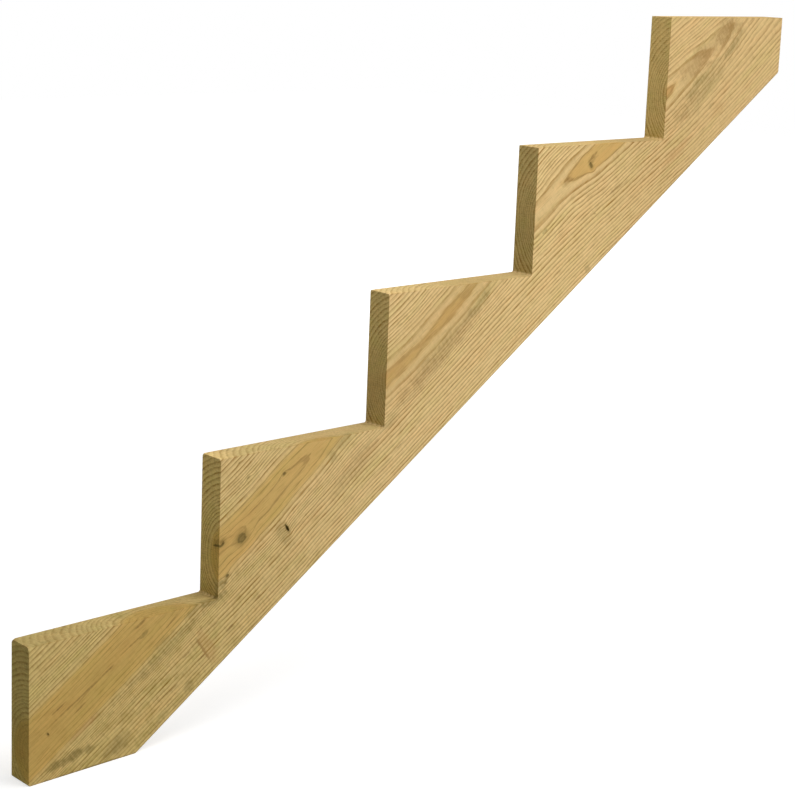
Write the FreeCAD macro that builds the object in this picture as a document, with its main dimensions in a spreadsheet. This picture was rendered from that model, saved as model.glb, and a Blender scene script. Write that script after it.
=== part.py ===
import FreeCAD, Part
import math
import os
import Sketcher

# A one-piece stair stringer: a length of dressed lumber laid out along the slope of the stair,
# sawn level at the floor and plumb at the head, with a notch cut out for every tread and riser.
# x runs along the climb, z is up and y is the board's thickness. The origin is the toe, where
# the lowest riser line meets the floor, in the middle of the thickness.
doc = FreeCAD.newDocument("stair_stringer")

# Driving sizes in millimetres, and the number of steps.
sizes = {
    # the dressed board, with its four long edges eased at the mill
    "board_thickness": 38.1,
    "board_width": 235.0,
    "edge_radius": 6.35,
    # the layout of the steps
    "step_count": 5,
    "tread_run": 279.4,
    "step_rise": 184.15,
    "first_rise": 175.0,
    "top_run": 281.5,
    # how far the lowest and the highest nose lie inside the board's upper edge
    "low_nose_margin": 0.4,
    "high_nose_margin": 4.0,
    # the round that the cutter leaves in each notch
    "notch_radius": 3.0,
}
sheet = doc.addObject("Spreadsheet::Sheet", "Sizes")
for row, (alias, value) in enumerate(sizes.items(), start=1):
    sheet.set(f"A{row}", alias.replace("_", " "))
    sheet.set(f"B{row}", str(value))
    sheet.setAlias(f"B{row}", alias)
doc.recompute()

# Sizes that follow from those, as expressions that the features are bound to.
STEP_PITCH = "hypot(Sizes.tread_run; Sizes.step_rise)"
LAYOUT_RUN = "(Sizes.step_count - 1) * Sizes.tread_run + Sizes.top_run"
LAYOUT_RISE = "Sizes.first_rise + (Sizes.step_count - 1) * Sizes.step_rise"
BOARD_SLOPE = (
    "atan(Sizes.step_rise / Sizes.tread_run)"
    " + asin((Sizes.high_nose_margin - Sizes.low_nose_margin)"
    f" / ((Sizes.step_count - 1) * {STEP_PITCH}))"
)
# The waste that the blank has beyond the layout, and the reach of an end cut, which clears it all.
SAW_WASTE = "Sizes.board_width / 4"
END_CUT_REACH = "3 * Sizes.board_width"


def amount(expression):
    """What an expression comes to, in millimetres or degrees."""
    result = sheet.evalExpression(expression)
    return getattr(result, "Value", result)


def point(x, z):
    """A point of a side sketch, x along the climb and z up."""
    return FreeCAD.Vector(x, z, 0)


def side_sketch(body, name):
    """Starts a sketch on the middle plane of the board."""
    plane = next(item for item in body.Origin.OriginFeatures if item.Role == "XZ_Plane")
    sketch = body.newObject("Sketcher::SketchObject", name)
    sketch.AttachmentSupport = (plane, "")
    sketch.MapMode = "FlatFace"
    return sketch


def fix(sketch, kind, *ends):
    """Adds a geometric relation, such as Horizontal, to the sketch."""
    return sketch.addConstraint(Sketcher.Constraint(kind, *ends))


def drive(sketch, name, kind, *ends, by):
    """Adds a dimension to the sketch and drives it by an expression."""
    value = math.radians(amount(by)) if kind == "Angle" else amount(by)
    index = fix(sketch, kind, *ends, value)
    sketch.renameConstraint(index, name)
    sketch.setExpression(f"Constraints.{name}", by)


def outline(sketch, corners):
    """Draws a closed run of straight lines through the corners and returns their numbers."""
    lines = []
    for start, end in zip(corners, corners[1:] + corners[:1]):
        lines.append(sketch.addGeometry(Part.LineSegment(start, end), False))
    for line, following in zip(lines, lines[1:] + lines[:1]):
        fix(sketch, "Coincident", line, END, following, START)
    return lines


def saw(body, name, sketch):
    """Cuts the sketch's area right through the board."""
    before = body.Tip.Shape.Volume
    cut = body.newObject("PartDesign::Pocket", name)
    cut.Profile = sketch
    cut.Type = "ThroughAll"
    cut.SideType = "Symmetric"
    doc.recompute()
    if not cut.Shape.Volume < before:
        raise RuntimeError(f"{name} took nothing off the board")
    return cut


# The ends of a line, and a sketch's own axes and origin, as a sketch numbers them.
START, END = range(1, 3)
LEVEL_AXIS, UPRIGHT_AXIS = range(-1, -3, -1)
ORIGIN = (LEVEL_AXIS, START)

body = doc.addObject("PartDesign::Body", "stringer")
body.Label = "stringer"
body.Placement = FreeCAD.Placement()

# The blank: a length of board on the slope of the stair. Its upper edge runs a little above the
# noses, nearer to the lowest one, and its ends stand clear of the finished foot and head.
slope = math.radians(amount(BOARD_SLOPE))
along = point(math.cos(slope), math.sin(slope))
across = point(-math.sin(slope), math.cos(slope))
low_nose = point(0, amount("Sizes.first_rise"))
head_corner = point(amount(LAYOUT_RUN), amount(LAYOUT_RISE))
upper = low_nose.dot(across) + amount("Sizes.low_nose_margin")
lower = upper - amount("Sizes.board_width")
foot_end = -amount(SAW_WASTE)
head_end = head_corner.dot(along) + amount(SAW_WASTE)

blank_sketch = side_sketch(body, "blank_outline")
blank_corners = [
    along * foot_end + across * lower,
    along * head_end + across * lower,
    along * head_end + across * upper,
    along * foot_end + across * upper,
]
underside, head_side, upper_side, foot_side = outline(blank_sketch, blank_corners)
fix(blank_sketch, "Perpendicular", underside, head_side)
fix(blank_sketch, "Perpendicular", head_side, upper_side)
fix(blank_sketch, "Perpendicular", upper_side, foot_side)
nose_mark = blank_sketch.addGeometry(Part.Point(low_nose), True)
head_mark = blank_sketch.addGeometry(Part.Point(head_corner), True)
fix(blank_sketch, "PointOnObject", nose_mark, START, UPRIGHT_AXIS)
drive(blank_sketch, "nose_level", "DistanceY", *ORIGIN, nose_mark, START, by="Sizes.first_rise")
drive(blank_sketch, "head_distance", "DistanceX", *ORIGIN, head_mark, START, by=LAYOUT_RUN)
drive(blank_sketch, "head_level", "DistanceY", *ORIGIN, head_mark, START, by=LAYOUT_RISE)
drive(blank_sketch, "slope", "Angle", underside, by=BOARD_SLOPE)
drive(blank_sketch, "width", "Distance", head_side, by="Sizes.board_width")
drive(blank_sketch, "margin", "Distance", nose_mark, START, upper_side, by="Sizes.low_nose_margin")
drive(blank_sketch, "foot_waste", "Distance", *ORIGIN, foot_side, by=SAW_WASTE)
drive(blank_sketch, "head_waste", "Distance", head_mark, START, head_side, by=SAW_WASTE)

blank = body.newObject("PartDesign::Pad", "blank")
blank.Profile = blank_sketch
blank.SideType = "Symmetric"
blank.setExpression("Length", "Sizes.board_thickness")
doc.recompute()

# The milled easing: a small round along each of the four long edges of the board.
long_edges = []
for number, edge in enumerate(blank.Shape.Edges, start=1):
    if edge.Length > amount(LAYOUT_RUN):
        long_edges.append(f"Edge{number}")
easing = body.newObject("PartDesign::Fillet", "easing")
easing.Base = (blank, long_edges)
easing.setExpression("Radius", "Sizes.edge_radius")
doc.recompute()

# The foot: a level cut to stand on the floor and a plumb cut up the lowest riser.
reach = amount(END_CUT_REACH)
foot_sketch = side_sketch(body, "foot_waste_outline")
foot_corners = [
    point(0, 0),
    point(0, reach),
    point(-reach, reach),
    point(-reach, -reach),
    point(reach, -reach),
    point(reach, 0),
]
riser_side, foot_top, foot_left, foot_base, foot_right, seat_side = outline(foot_sketch, foot_corners)
for line in (riser_side, foot_left, foot_right):
    fix(foot_sketch, "Vertical", line)
for line in (foot_top, foot_base, seat_side):
    fix(foot_sketch, "Horizontal", line)
fix(foot_sketch, "Coincident", riser_side, START, *ORIGIN)
drive(foot_sketch, "reach_up", "Distance", riser_side, by=END_CUT_REACH)
drive(foot_sketch, "reach_out", "Distance", foot_top, by=END_CUT_REACH)
drive(foot_sketch, "reach_down", "Distance", foot_right, by=END_CUT_REACH)
drive(foot_sketch, "reach_along", "Distance", seat_side, by=END_CUT_REACH)
foot_cut = saw(body, "foot_cut", foot_sketch)

# The head: the highest tread, and a plumb cut that bears on the framing of the floor above.
head_sketch = side_sketch(body, "head_waste_outline")
head_corners = [
    head_corner,
    head_corner + point(0, -reach),
    head_corner + point(reach, -reach),
    head_corner + point(reach, reach),
    head_corner + point(-reach, reach),
    head_corner + point(-reach, 0),
]
plumb_side, head_base, head_right, head_top, head_left, tread_side = outline(head_sketch, head_corners)
for line in (plumb_side, head_right, head_left):
    fix(head_sketch, "Vertical", line)
for line in (head_base, head_top, tread_side):
    fix(head_sketch, "Horizontal", line)
drive(head_sketch, "run", "DistanceX", *ORIGIN, plumb_side, START, by=LAYOUT_RUN)
drive(head_sketch, "rise", "DistanceY", *ORIGIN, plumb_side, START, by=LAYOUT_RISE)
drive(head_sketch, "reach_down", "Distance", plumb_side, by=END_CUT_REACH)
drive(head_sketch, "reach_out", "Distance", head_base, by=END_CUT_REACH)
drive(head_sketch, "reach_up", "Distance", head_left, by=END_CUT_REACH)
drive(head_sketch, "reach_along", "Distance", tread_side, by=END_CUT_REACH)
head_cut = saw(body, "head_cut", head_sketch)

# The lowest notch: level along the first tread, plumb up the second riser, with the cutter's
# round between them. It runs out past the upper edge of the board.
NOTCH_TOP = f"Sizes.first_rise + Sizes.step_rise + {SAW_WASTE}"
tread_level = amount("Sizes.first_rise")
riser_line = amount("Sizes.tread_run")
corner = amount("Sizes.notch_radius")
notch_left = -amount(SAW_WASTE)
notch_top = amount(NOTCH_TOP)
notch_sketch = side_sketch(body, "notch_outline")
tread = notch_sketch.addGeometry(
    Part.LineSegment(point(notch_left, tread_level), point(riser_line - corner, tread_level)), False
)
corner_circle = Part.Circle(
    point(riser_line - corner, tread_level + corner), FreeCAD.Vector(0, 0, 1), corner
)
corner_arc = notch_sketch.addGeometry(Part.ArcOfCircle(corner_circle, -math.pi / 2, 0), False)
riser = notch_sketch.addGeometry(
    Part.LineSegment(point(riser_line, tread_level + corner), point(riser_line, notch_top)), False
)
roof = notch_sketch.addGeometry(
    Part.LineSegment(point(riser_line, notch_top), point(notch_left, notch_top)), False
)
mouth = notch_sketch.addGeometry(
    Part.LineSegment(point(notch_left, notch_top), point(notch_left, tread_level)), False
)
fix(notch_sketch, "Tangent", tread, END, corner_arc, START)
fix(notch_sketch, "Tangent", corner_arc, END, riser, START)
fix(notch_sketch, "Coincident", riser, END, roof, START)
fix(notch_sketch, "Coincident", roof, END, mouth, START)
fix(notch_sketch, "Coincident", mouth, END, tread, START)
for line in (tread, roof):
    fix(notch_sketch, "Horizontal", line)
for line in (riser, mouth):
    fix(notch_sketch, "Vertical", line)
drive(notch_sketch, "corner", "Radius", corner_arc, by="Sizes.notch_radius")
drive(notch_sketch, "tread_level", "DistanceY", *ORIGIN, tread, START, by="Sizes.first_rise")
drive(notch_sketch, "riser_line", "DistanceX", *ORIGIN, riser, END, by="Sizes.tread_run")
drive(notch_sketch, "overrun", "DistanceX", mouth, END, *ORIGIN, by=SAW_WASTE)
drive(notch_sketch, "roof_level", "DistanceY", *ORIGIN, riser, END, by=NOTCH_TOP)
# the line from the lowest nose to the next, along which the notches repeat
nose_line = notch_sketch.addGeometry(
    Part.LineSegment(low_nose, low_nose + point(riser_line, amount("Sizes.step_rise"))), True
)
fix(notch_sketch, "PointOnObject", nose_line, START, UPRIGHT_AXIS)
fix(notch_sketch, "PointOnObject", nose_line, START, tread)
drive(notch_sketch, "run", "DistanceX", nose_line, START, nose_line, END, by="Sizes.tread_run")
drive(notch_sketch, "rise", "DistanceY", nose_line, START, nose_line, END, by="Sizes.step_rise")
notch = saw(body, "notch", notch_sketch)

# The flight: the notch again at every step, one fewer than there are treads.
flight = body.newObject("PartDesign::LinearPattern", "flight")
flight.Originals = [notch]
flight.Direction = (notch_sketch, ["Axis0"])
flight.Mode = "Spacing"
flight.setExpression("Offset", STEP_PITCH)
flight.setExpression("Occurrences", "Sizes.step_count - 1")
body.Tip = flight
doc.recompute()

for item in doc.Objects:
    if "Invalid" in item.State or "Error" in item.State:
        raise RuntimeError(f"{item.Label} failed: {item.State}")
if body.Shape.isNull() or not body.Shape.isValid() or len(body.Shape.Solids) != 1:
    raise RuntimeError("the stringer isn't one valid solid")
os.makedirs("parts", exist_ok=True)
body.Shape.exportStep(f"parts/{body.Label}.step")
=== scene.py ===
import math

import bmesh
import bpy
from mathutils import Matrix, Vector


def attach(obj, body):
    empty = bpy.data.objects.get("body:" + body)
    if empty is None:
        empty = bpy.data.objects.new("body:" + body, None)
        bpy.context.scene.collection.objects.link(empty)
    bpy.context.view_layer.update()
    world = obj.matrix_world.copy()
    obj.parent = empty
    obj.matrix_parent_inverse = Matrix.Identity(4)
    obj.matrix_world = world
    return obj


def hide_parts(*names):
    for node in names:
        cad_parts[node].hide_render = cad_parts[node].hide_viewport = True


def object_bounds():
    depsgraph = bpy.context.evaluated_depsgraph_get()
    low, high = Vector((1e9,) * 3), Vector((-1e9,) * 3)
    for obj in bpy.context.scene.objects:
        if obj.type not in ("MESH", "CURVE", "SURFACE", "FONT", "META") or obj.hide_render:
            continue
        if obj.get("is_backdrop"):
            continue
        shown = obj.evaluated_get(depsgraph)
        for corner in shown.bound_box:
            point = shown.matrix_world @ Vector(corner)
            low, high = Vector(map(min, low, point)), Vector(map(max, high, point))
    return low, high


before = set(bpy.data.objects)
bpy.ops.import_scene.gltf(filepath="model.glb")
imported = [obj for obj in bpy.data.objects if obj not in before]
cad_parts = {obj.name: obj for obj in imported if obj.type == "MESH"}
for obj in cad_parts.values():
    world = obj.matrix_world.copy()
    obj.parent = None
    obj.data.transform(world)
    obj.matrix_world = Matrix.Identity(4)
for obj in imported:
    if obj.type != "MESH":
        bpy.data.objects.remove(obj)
cad_low, cad_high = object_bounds()

# The stringer
# One length of pressure-treated pine, planed on its faces and eased along its four long edges at the mill.
# The steps, the level foot and the plumb head are sawn out of it, and the saw leaves crisp arrises.
# Small branches crossed the board, and where their dead wood has dropped out they leave hollows.
MM = 0.001

# The sawn outline is the section half way through the solid, which the easing doesn't reach.
WELD = 0.01 * MM
FLAT_ANGLE = math.radians(0.5)
board = bmesh.new()
board.from_mesh(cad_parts["stringer"].data)
bmesh.ops.remove_doubles(board, verts=board.verts, dist=WELD)
bmesh.ops.dissolve_limit(board, angle_limit=FLAT_ANGLE, verts=board.verts, edges=board.edges)
bmesh.ops.bisect_plane(
    board, geom=board.verts[:] + board.edges[:] + board.faces[:], plane_co=(cad_low + cad_high) / 2,
    plane_no=(0, 1, 0), clear_outer=True, clear_inner=True)
bmesh.ops.contextual_create(board, geom=board.edges[:])

# The climb follows the underside. The upper edge of the board runs just outside the noses.
NOSE_MARGIN = 0.4 * MM
longest = max(board.edges, key=lambda edge: edge.calc_length())
climb = (longest.verts[1].co - longest.verts[0].co).normalized()
climb *= math.copysign(1, climb.x)
slope = math.atan2(climb.z, climb.x)
across = Vector((-climb.z, 0, climb.x))
inward = Vector((0, 1, 0))
near_face = cad_low.y
thickness = cad_high.y - cad_low.y
lower_edge = min(vertex.co.dot(across) for vertex in board.verts)
upper_edge = max(vertex.co.dot(across) for vertex in board.verts) + NOSE_MARGIN

bmesh.ops.translate(board, verts=board.verts, vec=inward * -thickness / 2)
sides = bmesh.ops.extrude_face_region(board, geom=board.faces[:])["geom"]
bmesh.ops.translate(
    board, verts=[item for item in sides if isinstance(item, bmesh.types.BMVert)], vec=inward * thickness)
bmesh.ops.recalc_face_normals(board, faces=board.faces)


def round_edges(shape, edges, radius, steps):
    """Rounds the edges of a shape, and gives back the faces that this makes."""
    return bmesh.ops.bevel(
        shape, geom=edges, offset=radius, segments=steps, profile=0.5, affect="EDGES", material=-1,
        clamp_overlap=True)["faces"]


# The toe is knocked round where the board has been stood on it, and the other sawn arrises are a little worn.
SKIN = 0.02 * MM
TOE_ROUND, TOE_STEPS = 3.0 * MM, 4
ARRIS, ARRIS_STEPS = 0.7 * MM, 2
ARRIS_ANGLE = math.radians(40)
toe = [edge for edge in board.edges if all(
    max(abs(vertex.co.x - cad_low.x), abs(vertex.co.z - cad_low.z)) < SKIN for vertex in edge.verts)]
round_edges(board, toe, TOE_ROUND, TOE_STEPS)
arris = board.faces.layers.float.new("arris")
sharp = [edge for edge in board.edges if edge.is_convex and edge.calc_face_angle() > ARRIS_ANGLE]
for face in round_edges(board, sharp, ARRIS, ARRIS_STEPS):
    face[arris] = 1.0
mesh = bpy.data.meshes.new("sawn_board")
board.to_mesh(mesh)
board.free()
stringer = bpy.data.objects.new("stringer_board", mesh)
bpy.context.scene.collection.objects.link(stringer)


def shaped(axes, centre):
    """The matrix that gives a shape of size 1 these axes and this centre."""
    return Matrix([(*axis, 0) for axis in axes] + [(*centre, 1)]).transposed()


# The board before it was sawn, with its eased edges. It trims the low noses and rounds the underside.
EASING, EASING_STEPS = 6.35 * MM, 8
SPARE_LENGTH = 1.5
blank = bmesh.new()
reach = (cad_high - cad_low).length
middle = across * (upper_edge + lower_edge) / 2 + climb * reach / 2
axes = (
    climb * reach * SPARE_LENGTH, inward * (thickness + 2 * SKIN),
    across * (upper_edge - lower_edge + 2 * SKIN))
bmesh.ops.create_cube(blank, size=1.0, matrix=shaped(axes, middle))
round_edges(blank, [edge for edge in blank.edges if edge.calc_length() > reach], EASING, EASING_STEPS)
bmesh.ops.recalc_face_normals(blank, faces=blank.faces)


def trim(piece, shape, operation):
    """Adds a cut of the piece by another shape, which is turned into an object for it."""
    name = operation.lower()
    tool = bpy.data.objects.new(name, bpy.data.meshes.new(name))
    shape.to_mesh(tool.data)
    shape.free()
    bpy.context.scene.collection.objects.link(tool)
    cut = piece.modifiers.new(name, "BOOLEAN")
    cut.operation = operation
    cut.solver = "EXACT"
    cut.object = tool
    return tool


# Places on the board are in millimetres: along the climb, and down from its upper edge.
# Each knot: along, down, half its width, half its height, how far it leans up the board and down it for each
# millimetre inwards, how deep it runs, how far it is only a dark lower rim, how dark it is, and how deep a
# hollow it leaves at the near face.
KNOTS = (
    (401.5, 112.5, 7.8, 6.6, 0.25, 0.35, 60.0, 0.3, 0.75, 0.7),
    (373.5, 95.5, 5.4, 3.6, -0.30, -0.05, 13.0, 1.0, 0.75, 1.6),
    (464.0, 155.0, 2.1, 6.8, 0.00, 1.20, 16.0, 0.0, 0.75, 4.0),
    (1179.5, 92.0, 3.0, 5.6, 0.15, 0.40, 24.0, 0.0, 0.60, 1.0),
    (357.5, 139.0, 3.0, 2.4, 0.10, 0.60, 14.0, 0.0, 0.65, 0.8),
    (350.0, 145.0, 1.8, 1.4, 0.10, 0.60, 9.0, 0.0, 0.45, 0.0),
    (55.5, 111.0, 1.4, 2.4, 0.10, 0.30, 12.0, 0.0, 0.60, 0.8),
    (499.0, 89.0, 2.8, 1.9, 0.10, -0.40, 12.0, 0.0, 0.65, 0.8),
    (451.5, 52.0, 2.4, 1.4, 0.10, -0.60, 12.0, 0.0, 0.40, 0.0),
    (451.0, 25.5, 1.8, 1.1, 0.10, -0.60, 12.0, 0.0, 0.30, 0.0))
HOLLOW_SHARE = 0.85
hollows = bmesh.new()
for u, d, width, height, rise, lean, *_, hollow in KNOTS:
    if hollow:
        branch = climb * rise + inward - across * lean
        axes = climb * width * HOLLOW_SHARE, branch * hollow, across * height * HOLLOW_SHARE
        mouth = climb * u * MM + across * (upper_edge - d * MM) + inward * near_face
        bmesh.ops.create_uvsphere(
            hollows, u_segments=20, v_segments=12, radius=1.0,
            matrix=shaped([axis * MM for axis in axes], mouth))
bmesh.ops.recalc_face_normals(hollows, faces=hollows.faces)

FINE_WELD = 0.001 * MM
tools = trim(stringer, blank, "INTERSECT"), trim(stringer, hollows, "DIFFERENCE")
carved = bmesh.new()
carved.from_object(stringer, bpy.context.evaluated_depsgraph_get())
bmesh.ops.remove_doubles(carved, verts=carved.verts, dist=FINE_WELD)
stringer.modifiers.clear()
for tool in tools:
    shape = tool.data
    bpy.data.objects.remove(tool)
    bpy.data.meshes.remove(shape)

# The cuts across the fibres are sawn. The two faces and the long edges are planed.
PLANED, SAWN = range(2)
SAWN_TILT = 0.1
FACE_TILT = 0.5
SHARP_ANGLE = math.radians(32)
end_grain = carved.faces.layers.float.new("end_grain")
for face in carved.faces:
    face.smooth = True
    face[end_grain] = abs(face.normal.dot(climb))
    across_fibres = face[end_grain] > SAWN_TILT and abs(face.normal.y) < FACE_TILT
    face.material_index = SAWN if across_fibres else PLANED
for edge in carved.edges:
    edge.smooth = edge.is_manifold and edge.calc_face_angle() < SHARP_ANGLE
whole = mesh
mesh = bpy.data.meshes.new("stringer_board")
carved.to_mesh(mesh)
carved.free()
stringer.data = mesh
bpy.data.meshes.remove(whole)
even_shading = stringer.modifiers.new("even_shading", "WEIGHTED_NORMAL")
even_shading.keep_sharp = True


def feed(tree, socket, value):
    """Links a socket to another node's output, or sets the value on it."""
    if isinstance(value, bpy.types.NodeSocket):
        tree.links.new(value, socket)
    else:
        socket.default_value = value


def add(tree, kind, *values, **settings):
    """Adds a node, sets its options, feeds its inputs in order, and gives back its first output."""
    made = tree.nodes.new(kind)
    for name, value in settings.items():
        setattr(made, name, value)
    for socket, value in zip(made.inputs, values):
        if value is not None:
            feed(tree, socket, value)
    return made.outputs[0]


def maths(tree, operation, *values):
    """A sum on numbers."""
    return add(tree, "ShaderNodeMath", *values, operation=operation)


def vectors(tree, operation, *values):
    """A sum on vectors."""
    return add(tree, "ShaderNodeVectorMath", *values, operation=operation)


def measure(tree, operation, *values):
    """A vector operation that gives a number."""
    return vectors(tree, operation, *values).node.outputs["Value"]


def split(tree, vector):
    """The three numbers of a vector."""
    return add(tree, "ShaderNodeSeparateXYZ", vector).node.outputs


def ease(tree, value, start, end, low=0.0, high=1.0):
    """Goes smoothly from low to high as the value goes from start to end."""
    return add(tree, "ShaderNodeMapRange", value, start, end, low, high, interpolation_type="SMOOTHSTEP")


def noise(tree, position, grain, detail=2.0):
    """Noise from 0 to 1 whose patches are as long as grain says along, into and down the board."""
    stretched = vectors(tree, "DIVIDE", position, grain)
    return add(tree, "ShaderNodeTexNoise", stretched, None, 1.0, detail)


def swing(tree, position, grain, detail=2.0):
    """The same noise, swinging to both sides of 0."""
    return maths(tree, "SUBTRACT", noise(tree, position, grain, detail), 0.5)


def tint(tree, share, first, second, blend="MIX"):
    """Mixes the second colour into the first. The node's colours are its inputs 6 and 7 and its output 2."""
    made = tree.nodes.new("ShaderNodeMix")
    made.data_type = "RGBA"
    made.blend_type = blend
    feed(tree, made.inputs[0], share)
    feed(tree, made.inputs[6], first)
    feed(tree, made.inputs[7], second)
    return made.outputs[2]


def curve(tree, value, stations):
    """A smooth curve through the stations, read at the value. Stations and heights are both from 0 to 1."""
    made = tree.nodes.new("ShaderNodeFloatCurve")
    line = made.mapping.curves[0]
    for point, station in zip(line.points, (stations[0], stations[-1])):
        point.location = station
    for station in stations[1:-1]:
        line.points.new(*station)
    made.mapping.update()
    feed(tree, made.inputs[0], 1.0)
    feed(tree, made.inputs[1], value)
    return made.outputs[0]


def group(name, inputs, outputs):
    """A node group with its named inputs and outputs, and its two end nodes."""
    made = bpy.data.node_groups.new(name, "ShaderNodeTree")
    for label, kind in inputs.items():
        made.interface.new_socket(label, in_out="INPUT", socket_type=kind)
    for label, kind in outputs.items():
        made.interface.new_socket(label, in_out="OUTPUT", socket_type=kind)
    return made, made.nodes.new("NodeGroupInput").outputs, made.nodes.new("NodeGroupOutput").inputs


def place(tree, shared, **values):
    """Puts a node group in a tree, feeds its inputs by name, and gives back its outputs."""
    made = tree.nodes.new("ShaderNodeGroup")
    made.node_tree = shared
    for name, value in values.items():
        feed(tree, made.inputs[name], value)
    return made.outputs


def shade(red, green, blue):
    """A colour from its screen values, as the shader takes it."""
    linear = [c / 12.92 if c <= 0.04045 else ((c + 0.055) / 1.055) ** 2.4
              for c in (red / 255, green / 255, blue / 255)]
    return (*linear, 1.0)


FLOAT, VECTOR, COLOUR = "NodeSocketFloat", "NodeSocketVector", "NodeSocketColor"

# A knot is the trace of a branch. Its distance is 1 at the edge of the dark wood, and rises outwards.
# Each pair says where something starts and where it is full: the dark wood, its stained halo, the push on the
# rings, the line of a dark rim, and the rim's lower side.
DARK_WOOD, HALO, PUSHED = (1.1, 0.75), (2.4, 0.8), (4.5, 0.4)
RIM_LINE, RIM_SIDE = (0.4, 0.1), (-0.3, 0.3)
RIM_PLACE = 0.85
KNOT_RAGGED = 1.2
RUN_FADE = 0.75
knot, given, result = group(
    "knot", {"Position": VECTOR, "Place": VECTOR, "Lean": VECTOR, "Reach": VECTOR, "Run": FLOAT, "Rim": FLOAT,
             "Ragged": FLOAT},
    {"Core": FLOAT, "Halo": FLOAT, "Push": FLOAT})
offset = vectors(knot, "SUBTRACT", given["Position"], given["Place"])
deep = split(knot, offset)["Y"]
straight = vectors(knot, "SUBTRACT", offset, vectors(knot, "MULTIPLY", given["Lean"], add(
    knot, "ShaderNodeCombineXYZ", deep, deep, deep)))
scaled = vectors(knot, "DIVIDE", straight, given["Reach"])
distance = measure(knot, "LENGTH", scaled)
inside = ease(knot, deep, given["Run"], maths(knot, "MULTIPLY", given["Run"], RUN_FADE))
uneven = maths(knot, "MULTIPLY_ADD", given["Ragged"], KNOT_RAGGED, distance)
lower = measure(knot, "DOT_PRODUCT", scaled, (-math.sin(slope), 0, math.cos(slope)))
from_rim = maths(knot, "ABSOLUTE", maths(knot, "SUBTRACT", uneven, RIM_PLACE))
rim = maths(knot, "MULTIPLY", ease(knot, lower, *RIM_SIDE), ease(knot, from_rim, *RIM_LINE))
full = add(knot, "ShaderNodeMapRange", given["Rim"], 0.0, 1.0, ease(knot, uneven, *DARK_WOOD), rim)
feed(knot, result["Core"], maths(knot, "MULTIPLY", inside, full))
feed(knot, result["Halo"], maths(knot, "MULTIPLY", inside, ease(knot, uneven, *HALO)))
feed(knot, result["Push"], maths(knot, "MULTIPLY", inside, ease(knot, distance, *PUSHED)))

# A stain lies on the near face only, and its edge is ragged. The same mask draws the painted shade line along
# the foot's bottom edge.
STAIN_EDGE = 1.2, 0.4
STAIN_RAGGED = 2.4
stain_and_shade_mask, given, result = group(
    "stain_and_shade_mask", {"Position": VECTOR, "Place": VECTOR, "Reach": VECTOR, "Turn": FLOAT, "Ragged": FLOAT},
    {"Mask": FLOAT})
offset = vectors(stain_and_shade_mask, "SUBTRACT", given["Position"], given["Place"])
turned = add(stain_and_shade_mask, "ShaderNodeVectorRotate", offset, (0, 0, 0), (0, 1, 0), given["Turn"])
distance = measure(stain_and_shade_mask, "LENGTH", vectors(stain_and_shade_mask, "DIVIDE", turned, given["Reach"]))
uneven = maths(stain_and_shade_mask, "MULTIPLY_ADD", given["Ragged"], STAIN_RAGGED, distance)
feed(stain_and_shade_mask, result["Mask"], ease(stain_and_shade_mask, uneven, *STAIN_EDGE))

# The wood is worked out in the board's own coordinates, in millimetres: along the climb, in from the near
# face and down from the upper edge.
# Where the pith of the tree ran, in front of the near face: along, down, out from the face, and how far the
# outer rings below it have drifted down from it. A curve runs from 0 to 1, so each number is divided by its
# reach, and lifted clear of 0.
BOARD_REACH = 1700.0
PITH_REACH, PITH_LIFT = 125.0, 0.1
PITH_PATH = (
    (0, 109, 3, -11.5), (150, 108, 5, -9.5), (260, 106.5, 9, -7), (340, 105, 15, -4.5), (410, 104, 20, -3),
    (450, 103.5, 20, -3.5), (500, 99, 20.5, -2), (550, 97, 23, -0.5), (600, 94.5, 27.5, 0.5),
    (650, 96.5, 30.5, 0), (700, 99.5, 32.5, -3.5), (765, 102, 33.5, -7), (840, 97.5, 33.5, -4),
    (900, 92, 34, 0.5), (1000, 87, 37, 5.5), (1060, 86.5, 36.5, 5.5), (1120, 81, 35, 12),
    (1140, 82, 33.5, 11), (1190, 86.5, 30.5, 9), (1265, 90.5, 29, 8), (1340, 97, 32, 7),
    (1392, 100, 35, 8), (1440, 100.5, 37, 8.5), (1480, 101.5, 40, 9), (1500, 101, 41.5, 10),
    (1540, 99, 44.5, 13), (1570, 97.5, 46.5, 14), (1700, 96, 55, 15))
DRIFT_START, DRIFT_END = 25, 80
# The age of the tree at a few distances from its pith, in years.
RADIUS_REACH = 150.0
YEARS = 30.0
AGES = (
    (0, 0), (22.8, 4), (34.8, 6), (41.5, 7), (46.5, 8), (58, 11), (69.5, 14), (87, 17), (103.5, 20),
    (150, 29.2))
# How far the rings wander, and how long each kind of wandering is along, into and down the board.
WANDERINGS = ((3.0, (220, 60, 45)), (2.2, (48, 14, 10)), (1.3, (22, 8, 6)))
RAGGED_GRAIN = (17, 6, 3.5)
KNOT_DEPTH = 1000
RING_PUSH = 0.7

pine, given, result = group(
    "treated_pine", {"Position": VECTOR, "Contrast": FLOAT},
    {"Colour": COLOUR, "Roughness": FLOAT, "Relief": FLOAT})
position = given["Position"]
along, into, down = split(pine, position)
ragged = swing(pine, position, RAGGED_GRAIN, 4.0)

core = halo = push = 0.0
for u, d, width, height, rise, lean, run, rim, darkness, _ in KNOTS:
    found = place(
        pine, knot, Position=position, Place=(u, 0, d), Lean=(rise, 0, lean),
        Reach=(width, KNOT_DEPTH, height), Run=run, Rim=rim, Ragged=ragged)
    core = maths(pine, "MAXIMUM", core, maths(pine, "MULTIPLY", found["Core"], darkness))
    halo = maths(pine, "MAXIMUM", halo, maths(pine, "MULTIPLY", found["Halo"], darkness))
    push = maths(pine, "MULTIPLY_ADD", found["Push"], width * RING_PUSH, push)

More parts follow.
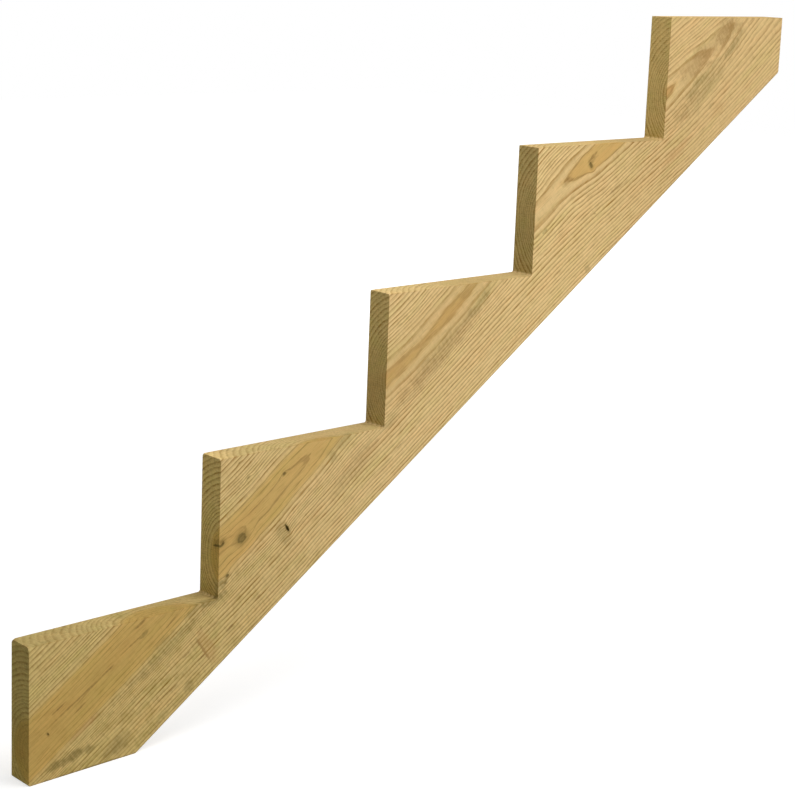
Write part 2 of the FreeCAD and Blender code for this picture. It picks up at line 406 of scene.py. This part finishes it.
station = maths(pine, "DIVIDE", along, BOARD_REACH)
pith_down, pith_out, drift = (
    maths(pine, "MULTIPLY_ADD", curve(pine, station, [
        (stop[0] / BOARD_REACH, stop[column] / PITH_REACH + PITH_LIFT) for stop in PITH_PATH]),
        PITH_REACH, -PITH_LIFT * PITH_REACH)
    for column in (1, 2, 3))
side = maths(pine, "SUBTRACT", down, pith_down)
side = maths(pine, "SUBTRACT", side, maths(
    pine, "MULTIPLY", drift, ease(pine, side, DRIFT_START, DRIFT_END)))
front = maths(pine, "ADD", into, pith_out)
radius = maths(pine, "SQRT", maths(
    pine, "ADD", maths(pine, "MULTIPLY", side, side), maths(pine, "MULTIPLY", front, front)))
radius = maths(pine, "SUBTRACT", radius, push)
for far, grain in WANDERINGS:
    radius = maths(pine, "MULTIPLY_ADD", swing(pine, position, grain), far, radius)

# Each year the wood darkens slowly to the summer's end, then starts pale again. No two years are alike.
# The heart of the tree has thinner lines, and its edge is sharp at the head and soft at the foot.
LATEWOOD = (
    (0.0, 0.0), (0.1, 0.02), (0.38, 0.2), (0.58, 0.52), (0.72, 1.0), (0.88, 1.0), (0.97, 0.1), (1.0, 0.0))
FIRST_YEARS = ((0.0, 0.0), (0.6, 0.02), (0.78, 0.15), (0.88, 1.0), (0.95, 1.0), (0.985, 0.1), (1.0, 0.0))
HEART, HEART_RAGGED = 34.8, 3.0
SHARP_HEART, SOFT_HEART = 1.2, 5.5
age = maths(pine, "MULTIPLY", YEARS, curve(
    pine, maths(pine, "DIVIDE", radius, RADIUS_REACH), [(r / RADIUS_REACH, y / YEARS) for r, y in AGES]))
season = maths(pine, "FRACT", age)
soft = ease(pine, along, 950, 400, SHARP_HEART, SOFT_HEART)
heart = ease(pine, maths(pine, "MULTIPLY_ADD", ragged, HEART_RAGGED, radius), maths(
    pine, "ADD", soft, HEART), maths(pine, "SUBTRACT", HEART, soft))
late = add(
    pine, "ShaderNodeMapRange", heart, 0.0, 1.0, curve(pine, season, LATEWOOD),
    curve(pine, season, FIRST_YEARS))
year = pine.nodes.new("ShaderNodeTexWhiteNoise")
year.noise_dimensions = "1D"
feed(pine, year.inputs["W"], maths(pine, "FLOOR", age))

# The lines are fainter where the rings lie flat to the face, most of all at the third tooth, and they come
# and go along the board. What they lose to flatness darkens the wood between them.
FLAT_START, FLAT_END, CALM_END = 5, 45, 15
FLAT_LOSS, CALM_LOSS = 0.4, -0.27
LONG_GRAIN, SHORT_GRAIN = (80, 16, 9), (24, 6, 3)
calm = maths(pine, "MULTIPLY", ease(pine, along, 620, 720), ease(pine, along, 1020, 920))
flat = ease(
    pine, maths(pine, "ABSOLUTE", side), FLAT_START, maths(pine, "MULTIPLY_ADD", calm, CALM_END, FLAT_END),
    maths(pine, "MULTIPLY_ADD", calm, CALM_LOSS, ease(pine, along, 1300, 1400, 0.62, 0.95)), 1.0)
year_strength = ease(pine, year.outputs["Value"], 0, 1, 0.7, 1.0)
near_pith = ease(pine, radius, 8, 32, 0.4, 1.0)
long_fade = ease(pine, noise(pine, position, LONG_GRAIN), 0.25, 0.75, 0.7, 1.0)
short_fade = ease(pine, noise(pine, position, SHORT_GRAIN, 3.0), 0.3, 0.7, 0.6, 1.15)
head_fade = ease(pine, along, 1460, 1300, 0.66, 1.0)
foot_fade = ease(pine, along, 30, 330, 0.79, 1.0)
for weaker in (
        year_strength, near_pith, flat, long_fade, short_fade, head_fade, foot_fade, given["Contrast"]):
    late = maths(pine, "MULTIPLY", late, weaker)
lines = maths(pine, "MULTIPLY_ADD", maths(pine, "SUBTRACT", 1.0, flat), FLAT_LOSS, late)

EARLY_SAP = shade(235, 205, 145)
LATE_SAP = shade(158, 114, 35)
EARLY_HEART = shade(222, 184, 111)
LATE_HEART = shade(128, 94, 38)
early = tint(pine, heart, EARLY_SAP, EARLY_HEART)
summer = tint(pine, heart, LATE_SAP, LATE_HEART)
colour = tint(pine, lines, early, summer)

# The wood is duller towards its two ends, and the treatment has left blotches and green and red patches.
# The fibres are light and dark, with short open pores. The planer's knives have chattered, and left faint
# bands across the soft sapwood.
FOOT_SAP = (0.88, 0.90, 0.76, 1)
FOOT_HEART = (0.90, 0.90, 0.76, 1)
HEAD_TONE = (0.85, 0.82, 0.79, 1)
MOTTLE_GRAIN, MOTTLE_TONE = (26, 12, 12), (0.78, 0.78, 0.66, 1)
PATCH_GRAIN, GREEN_TONE, RED_TONE = (110, 30, 22), (0.95, 0.99, 0.91, 1), (1.03, 0.985, 0.97, 1)
FIBRE_GRAIN, DARK_FIBRE, PALE_FIBRE = (26, 2.6, 1.7), (0.80, 0.77, 0.71, 1), (1.12, 1.12, 1.13, 1)
CHATTER_GRAIN, DARK_CHATTER, PALE_CHATTER = (4.5, 8, 11), (0.86, 0.85, 0.81, 1), (1.08, 1.08, 1.09, 1)
PORE_GRAIN, PORE_TONE = (9, 0.5, 0.5), (0.74, 0.66, 0.5, 1)
mottle = ease(pine, noise(pine, position, MOTTLE_GRAIN, 4.0), 0.45, 0.72, 0.25, 1.0)
mottle = maths(pine, "MULTIPLY", mottle, ease(pine, along, 800, 100, 0.15, 1.0))
mottle = maths(pine, "MULTIPLY", mottle, ease(pine, down, 110, 170, 0.45, 1.3))
patchy = noise(pine, position, PATCH_GRAIN, 3.0)
fibre = noise(pine, position, FIBRE_GRAIN, 4.0)
chatter = noise(pine, position, CHATTER_GRAIN, 4.0)
rough = maths(pine, "MULTIPLY", ease(pine, along, 600, 250, 0.55, 1.0), ease(pine, heart, 0, 1, 1.0, 0.3))
pores = ease(pine, noise(pine, position, PORE_GRAIN, 1.0), 0.66, 0.78)
for share, tone in (
        (ease(pine, along, 650, 50), tint(pine, heart, FOOT_SAP, FOOT_HEART)),
        (ease(pine, along, 1000, 1420), HEAD_TONE),
        (mottle, MOTTLE_TONE),
        (ease(pine, patchy, 0.48, 0.72), GREEN_TONE),
        (ease(pine, patchy, 0.52, 0.28), RED_TONE),
        (ease(pine, fibre, 0.5, 0.75), DARK_FIBRE),
        (ease(pine, fibre, 0.5, 0.25), PALE_FIBRE),
        (maths(pine, "MULTIPLY", rough, ease(pine, chatter, 0.5, 0.72)), DARK_CHATTER),
        (maths(pine, "MULTIPLY", rough, ease(pine, chatter, 0.5, 0.28)), PALE_CHATTER),
        (pores, PORE_TONE)):
    colour = tint(pine, share, colour, tone, "MULTIPLY")

# Stains take unevenly, and along the planer's bands. One thin olive line among them is painted shade along
# the foot's bottom edge.
# Each stain: along, down, half its length, half its height, how far it turns in degrees and its strength.
OLIVE, BROWN, RED = shade(130, 112, 56), shade(142, 109, 54), shade(184, 136, 80)
STAINS_AND_SHADE = {
    OLIVE: (
        (46, 156, 18, 6, 22, 0.7), (68, 163, 20, 8, 26, 0.8), (84, 172, 14, 5, 30, 0.5),
        (295, 139, 18, 6, 10, 0.5), (322, 149, 24, 7, 20, 0.6), (240, 152, 95, 8, 0, 0.3),
        (222, 109, 8, 4, 0, 0.55), (455, 160, 11, 22, 0, 0.3), (345, 143, 16, 7, 0, 0.5),
        (575, 126, 9, 12, 0, 0.32), (600, 122, 24, 8, 0, 0.3), (680, 157, 20, 9, 0, 0.28),
        (240, 138, 18, 5, 0, 0.35), (892, 124, 34, 8, -12, 0.42), (907, 118, 22, 5, -14, 0.4),
        (1052, 117, 6, 3, 0, 0.5), (1099, 224, 7, 6, 0, 0.45), (1440, 132, 48, 9, -4, 0.5),
        (1540, 127, 42, 8, -10, 0.5), (1450, 142, 90, 22, -6, 0.35), (1454, 179, 10, 4, 0, 0.3),
        (195, 155, 9, 8, 0, 0.4), (235, 219, 9, 8, 0, 0.4), (185, 222, 12, 6, 0, 0.35),
        # The long thin line turned level, 67 along and 190 down, is painted shade along the foot's bottom
        # edge, where the edge turns down towards the floor.
        (67, 190, 86, 1.8, 33.5, 0.8), (115, 200, 26, 13, 12, 0.5)),
    BROWN: (
        (277, 195, 2.4, 28, 0, 0.6), (600, 166, 55, 18, -4, 0.25), (800, 136, 110, 16, -6, 0.38),
        (757, 141, 34, 11, 0, 0.45), (1389, 155, 11, 6, 0, 0.4), (1540, 98, 42, 22, 0, 0.55),
        (1462, 100, 62, 20, 0, 0.45), (1190, 84, 15, 2.6, -8, 0.7),
        (1128, 82, 14, 8, 0, 0.35), (1186, 89, 12, 3, 0, 0.4), (85, 95.5, 12, 1.6, 4, 0.8),
        (105, 118, 10, 1.4, 0, 0.65), (115, 107, 52, 1.3, 3, 0.6), (160, 108.5, 13, 1.5, 0, 0.8),
        (205, 107, 28, 1.2, 3, 0.6), (226, 94, 13, 1.6, 0, 0.7), (270, 202, 9, 1.8, 0, 0.9),
        (324, 202, 7, 2.0, 0, 0.8), (307, 180, 8, 1.5, 0, 0.8), (255, 180.5, 10, 1.5, 0, 0.7),
        (215, 202.5, 9, 1.6, 0, 0.6), (376, 201, 8, 1.8, 0, 0.6), (672, 197, 12, 1.5, 0, 0.6),
        (1152, 161, 4, 1.2, 10, 0.6), (262, 126, 14, 1.4, -8, 0.7), (1212, 157, 24, 3, 8, 0.4)),
    RED: (
        (284, 194, 11, 33, 0, 0.38), (1380, 100, 14, 7, 0, 0.4), (95, 143, 30, 5, 0, 0.4),
        (1350, 192, 40, 10, 0, 0.3), (1465, 196, 30, 8, 0, 0.25), (720, 98, 24, 9, 10, 0.15))}
STAIN_DEPTH = 9
BROAD_HEIGHT, BROAD_GRAIN, BROAD_RAGGED = 6, (22, 8, 10), 0.7
STREAK_GRAIN = (13, 5, 5)
TAKE_GRAIN = (12, 5, 5)
broad = maths(pine, "MULTIPLY", swing(pine, position, BROAD_GRAIN, 5.0), BROAD_RAGGED)
streaked = swing(pine, position, STREAK_GRAIN, 4.0)
taken = maths(pine, "MULTIPLY", ease(pine, chatter, 0.3, 0.65, 0.72, 1.15), ease(
    pine, noise(pine, position, TAKE_GRAIN, 4.0), 0.3, 0.6, 0.8, 1.0))
for stain_and_shade_colour, places in STAINS_AND_SHADE.items():
    stain_and_shade = 0.0
    for u, d, length, height, turn, amount in places:
        mask = place(
            pine, stain_and_shade_mask, Position=position, Place=(u, 0, d), Reach=(length, STAIN_DEPTH, height),
            Turn=math.radians(turn), Ragged=broad if height > BROAD_HEIGHT else streaked)["Mask"]
        stain_and_shade = maths(pine, "MAXIMUM", stain_and_shade, maths(pine, "MULTIPLY", mask, amount))
    colour = tint(pine, maths(pine, "MULTIPLY", stain_and_shade, taken), colour, stain_and_shade_colour)

# The dark wood of the knots and their paler rims go on last. The summer lines are the smoothest and highest.
KNOT_RIM, RIM_STRENGTH = shade(144, 116, 56), 0.7
KNOT_WOOD = shade(86, 74, 24)
ROUGHNESS, FIBRE_ROUGHNESS, LINE_ROUGHNESS = 0.66, 0.15, -0.1
FIBRE_HEIGHT, PORE_HEIGHT = 0.5, -0.3
colour = tint(pine, maths(pine, "MULTIPLY", halo, RIM_STRENGTH), colour, KNOT_RIM)
colour = tint(pine, core, colour, KNOT_WOOD)
feed(pine, result["Colour"], colour)
feed(pine, result["Roughness"], maths(pine, "MULTIPLY_ADD", lines, LINE_ROUGHNESS, maths(
    pine, "MULTIPLY_ADD", fibre, FIBRE_ROUGHNESS, ROUGHNESS)))
feed(pine, result["Relief"], maths(pine, "MULTIPLY_ADD", fibre, FIBRE_HEIGHT, maths(
    pine, "MULTIPLY_ADD", pores, PORE_HEIGHT, lines)))


def object_place(tree):
    """Where a point is on its object, in metres."""
    return tree.nodes.new("ShaderNodeTexCoord").outputs["Object"]


def pine_finish(name, gloss):
    """A material for the board, with its shader and the board's own coordinates."""
    made = bpy.data.materials.new(name)
    made.use_nodes = True
    tree = made.node_tree
    shader = tree.nodes["Principled BSDF"]
    shader.inputs["Specular IOR Level"].default_value = gloss
    laid = add(
        tree, "ShaderNodeMapping", object_place(tree),
        (0, -near_face / MM, upper_edge / MM), (0, -slope, 0), (1 / MM, 1 / MM, -1 / MM))
    mesh.materials.append(made)
    return tree, shader, laid


def face_value(tree, name):
    """A number that each face of the board carries."""
    return add(tree, "ShaderNodeAttribute", attribute_name=name).node.outputs["Fac"]


def relief(tree, shader, height, depth):
    """Raises the surface by the depth where the height is 1."""
    made = tree.nodes.new("ShaderNodeBump")
    feed(tree, made.inputs["Distance"], depth)
    feed(tree, made.inputs["Height"], height)
    feed(tree, shader.inputs["Normal"], made.outputs[0])


# Handling has rubbed the arrises here and there, and dulled them.
WEAR_GRAIN, WEAR_TONE = (14, 14, 14), (0.80, 0.74, 0.64, 1)
worn_edge, given, result = group("worn_edge", {"Colour": COLOUR, "Position": VECTOR}, {"Colour": COLOUR})
rubbed = ease(worn_edge, noise(worn_edge, given["Position"], WEAR_GRAIN, 3.0), 0.35, 0.65, 0.2, 1.0)
rubbed = maths(worn_edge, "MULTIPLY", face_value(worn_edge, "arris"), rubbed)
feed(worn_edge, result["Colour"], tint(worn_edge, rubbed, given["Colour"], WEAR_TONE, "MULTIPLY"))

# Planed faces: the hard summer wood stands a little proud of the soft spring wood.
PLANED_GLOSS, PLANED_RELIEF = 0.25, 0.12 * MM
tree, shader, laid = pine_finish("planed_pine", PLANED_GLOSS)
wood = place(tree, pine, Position=laid, Contrast=1.0)
rubbed = place(tree, worn_edge, Colour=wood["Colour"], Position=laid)
feed(tree, shader.inputs["Base Color"], rubbed["Colour"])
feed(tree, shader.inputs["Roughness"], wood["Roughness"])
relief(tree, shader, wood["Relief"], PLANED_RELIEF)

# Sawn faces: the ends of the fibres are darker and duller, and the blade leaves shallow curved marks. The
# deeper yellow of the end grain is painted shade, the colour the risers take in shade.
SAWN_GLOSS, SAWN_RELIEF = 0.15, 0.18 * MM
SAW_PITCH, SAW_RADIUS = 3.1, 92.0
SAW_WANDER, SAW_GRAIN = 3.0, (30, 30, 30)
MARK_GRAIN, MARK_TONE, MARK_HEIGHT = (25, 12, 25), (0.88, 0.88, 0.86, 1), 0.6
FUZZ_GRAIN, FUZZ_HEIGHT = (1.6, 0.7, 0.7), 0.6
WOOD_HEIGHT = 0.5
# A little of this darkening is the end grain's own, and its deeper yellow is painted shade.
END_GRAIN_AND_SHADE_TONE = (0.93, 0.95, 0.76, 1)
FUZZ_ROUGHNESS, SAWN_ROUGHNESS = 0.2, 0.75
# How light each cut is, by its place along the board: risers and treads in turn. It is partly the wood's own
# tone and partly painted light and shade that the lamps don't give.
CUT_TONES_AND_LIGHT = (
    (0, 1.2), (60, 0.85), (130, 0.85), (215, 0.95), (300, 0.9), (350, 1.2), (410, 1.25), (465, 0.95),
    (550, 0.9), (660, 0.85), (745, 1.1), (800, 1.0), (965, 0.85), (1015, 0.75), (1050, 0.9), (1130, 0.9),
    (1215, 1.0), (1300, 0.8), (1350, 1.05), (1400, 1.1), (1700, 0.95))
BRIGHTEST_CUT = 1.25
tree, shader, laid = pine_finish("sawn_pine", SAWN_GLOSS)
cut_end = face_value(tree, "end_grain")
wood = place(tree, pine, Position=laid, Contrast=ease(tree, cut_end, 0.5, 0.85, 0.55, 0.85))
colour = tint(tree, ease(tree, cut_end, 0.4, 0.85), wood["Colour"], END_GRAIN_AND_SHADE_TONE, "MULTIPLY")
cut_tone_and_light = curve(tree, maths(tree, "DIVIDE", split(tree, laid)["X"], BOARD_REACH), [
    (u / BOARD_REACH, tone / BRIGHTEST_CUT) for u, tone in CUT_TONES_AND_LIGHT])
colour = vectors(tree, "SCALE", colour)
feed(tree, colour.node.inputs["Scale"], maths(tree, "MULTIPLY", cut_tone_and_light, BRIGHTEST_CUT))
level, through, upright = split(tree, object_place(tree))
through = maths(tree, "DIVIDE", through, MM)
travel = maths(tree, "DIVIDE", maths(tree, "ADD", level, upright), MM)
travel = maths(tree, "MULTIPLY_ADD", maths(tree, "MULTIPLY", through, through), 0.5 / SAW_RADIUS, travel)
travel = maths(tree, "MULTIPLY_ADD", noise(tree, laid, SAW_GRAIN), SAW_WANDER, travel)
marks = maths(tree, "MULTIPLY_ADD", maths(
    tree, "SINE", maths(tree, "MULTIPLY", travel, 2 * math.pi / SAW_PITCH)), 0.5, 0.5)
marks = maths(tree, "MULTIPLY", marks, ease(tree, noise(tree, laid, MARK_GRAIN), 0.35, 0.7))
colour = tint(tree, marks, colour, MARK_TONE, "MULTIPLY")
fuzz = noise(tree, laid, FUZZ_GRAIN, 3.0)
colour = tint(tree, ease(tree, fuzz, 0.45, 0.8), colour, MARK_TONE, "MULTIPLY")
rubbed = place(tree, worn_edge, Colour=colour, Position=laid)
feed(tree, shader.inputs["Base Color"], rubbed["Colour"])
feed(tree, shader.inputs["Roughness"], maths(
    tree, "MULTIPLY_ADD", fuzz, FUZZ_ROUGHNESS, SAWN_ROUGHNESS))
fibres = maths(tree, "MULTIPLY_ADD", fuzz, FUZZ_HEIGHT, maths(tree, "MULTIPLY", wood["Relief"], WOOD_HEIGHT))
relief(tree, shader, maths(tree, "ADD", maths(tree, "MULTIPLY", marks, MARK_HEIGHT), fibres), SAWN_RELIEF)

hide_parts("stringer")
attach(stringer, "root")

# The floor
# A sheet of white studio paper under the foot of the board. It keeps the board's soft shadow near the board,
# and goes to plain white further out.
FLOOR_HALF = 8.0
FLOOR_NEAR, FLOOR_FAR = 0.9, 2.6
FLOOR_GREY, FLOOR_GLOW = 0.55, 0.67
floor_shape = bmesh.new()
bmesh.ops.create_grid(floor_shape, x_segments=1, y_segments=1, size=FLOOR_HALF)
bmesh.ops.translate(floor_shape, verts=floor_shape.verts, vec=(0, 0, cad_low.z))
floor_mesh = bpy.data.meshes.new("studio_floor")
floor_shape.to_mesh(floor_mesh)
floor_shape.free()
floor = bpy.data.objects.new("studio_floor", floor_mesh)
bpy.context.scene.collection.objects.link(floor)
paper = bpy.data.materials.new("white_paper")
paper.use_nodes = True
tree = paper.node_tree
shader = tree.nodes["Principled BSDF"]
shader.inputs["Base Color"].default_value = (FLOOR_GREY, FLOOR_GREY, FLOOR_GREY, 1)
shader.inputs["Roughness"].default_value = 0.9
shader.inputs["Specular IOR Level"].default_value = 0.0
shader.inputs["Emission Color"].default_value = (1, 1, 1, 1)
middle = ((cad_low.x + cad_high.x) / 2, 0, cad_low.z)
outwards = measure(tree, "DISTANCE", object_place(tree), middle)
spread = ease(tree, outwards, FLOOR_NEAR, FLOOR_FAR, FLOOR_GLOW, 1.0)


def backdrop_rays(tree):
    """1 for the rays that show the backdrop, which are those of the camera, of gloss and through glass."""
    rays = tree.nodes.new("ShaderNodeLightPath").outputs
    return maths(tree, "MAXIMUM", rays["Is Camera Ray"], maths(
        tree, "MAXIMUM", rays["Is Glossy Ray"], rays["Is Transmission Ray"]))


feed(tree, shader.inputs["Emission Strength"], maths(tree, "MULTIPLY", backdrop_rays(tree), spread))
floor_mesh.materials.append(paper)
floor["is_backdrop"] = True

# The light
# A broad soft lamp on the right in front, a smaller one above the steps, a wide low one behind that fills the
# far face, and a pale room all round.
LAMP_AIM = Vector((0.75, 0, 0.5))
ROOM_LEVEL = 0.285
for name, stand, wide, high, watts in (
        ("front_lamp", Vector((2.2, -3.2, 1.2)), 2.0, 2.0, 54),
        ("top_lamp", Vector((0.6, -0.5, 2.2)), 1.2, 1.2, 22.5),
        ("back_lamp", Vector((1.1, 3.0, 0.36)), 2.2, 0.6, 30)):
    lamp = bpy.data.lights.new(name, "AREA")
    lamp.shape = "RECTANGLE"
    lamp.size = wide
    lamp.size_y = high
    lamp.energy = watts
    lamp_stand = bpy.data.objects.new(name, lamp)
    lamp_stand.location = stand
    lamp_stand.rotation_euler = (LAMP_AIM - stand).to_track_quat("-Z", "Y").to_euler()
    bpy.context.scene.collection.objects.link(lamp_stand)

room = bpy.data.worlds.new("pale_room")
room.use_nodes = True
bpy.context.scene.world = room
tree = room.node_tree
feed(tree, tree.nodes["Background"].inputs["Color"], (1, 1, 1, 1))
feed(tree, tree.nodes["Background"].inputs["Strength"], add(
    tree, "ShaderNodeMapRange", backdrop_rays(tree), 0.0, 1.0, ROOM_LEVEL, 1.0))

# The camera
# It stands on the left in front, a little higher than the head of the board, and leans slightly.
CAMERA_PLACE = (-1.13944, -1.82202, 1.00101)
CAMERA_AZIMUTH = math.radians(-43.555)
CAMERA_ELEVATION = math.radians(11.001)
CAMERA_LEAN = math.radians(2.302)
CAMERA_LENS = 84.767
CAMERA_SHIFT = -0.11
camera = bpy.data.cameras.new("camera")
camera.lens = CAMERA_LENS
camera.shift_y = CAMERA_SHIFT
camera_stand = bpy.data.objects.new("camera", camera)
turned = (Matrix.Rotation(CAMERA_AZIMUTH, 4, "Z") @ Matrix.Rotation(math.pi / 2 - CAMERA_ELEVATION, 4, "X")
          @ Matrix.Rotation(CAMERA_LEAN, 4, "Z"))
camera_stand.matrix_world = Matrix.Translation(CAMERA_PLACE) @ turned
bpy.context.scene.collection.objects.link(camera_stand)
bpy.context.scene.camera = camera_stand
bpy.context.scene.view_settings.view_transform = "Standard"

# The bounds of the dressed board.
low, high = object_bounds()
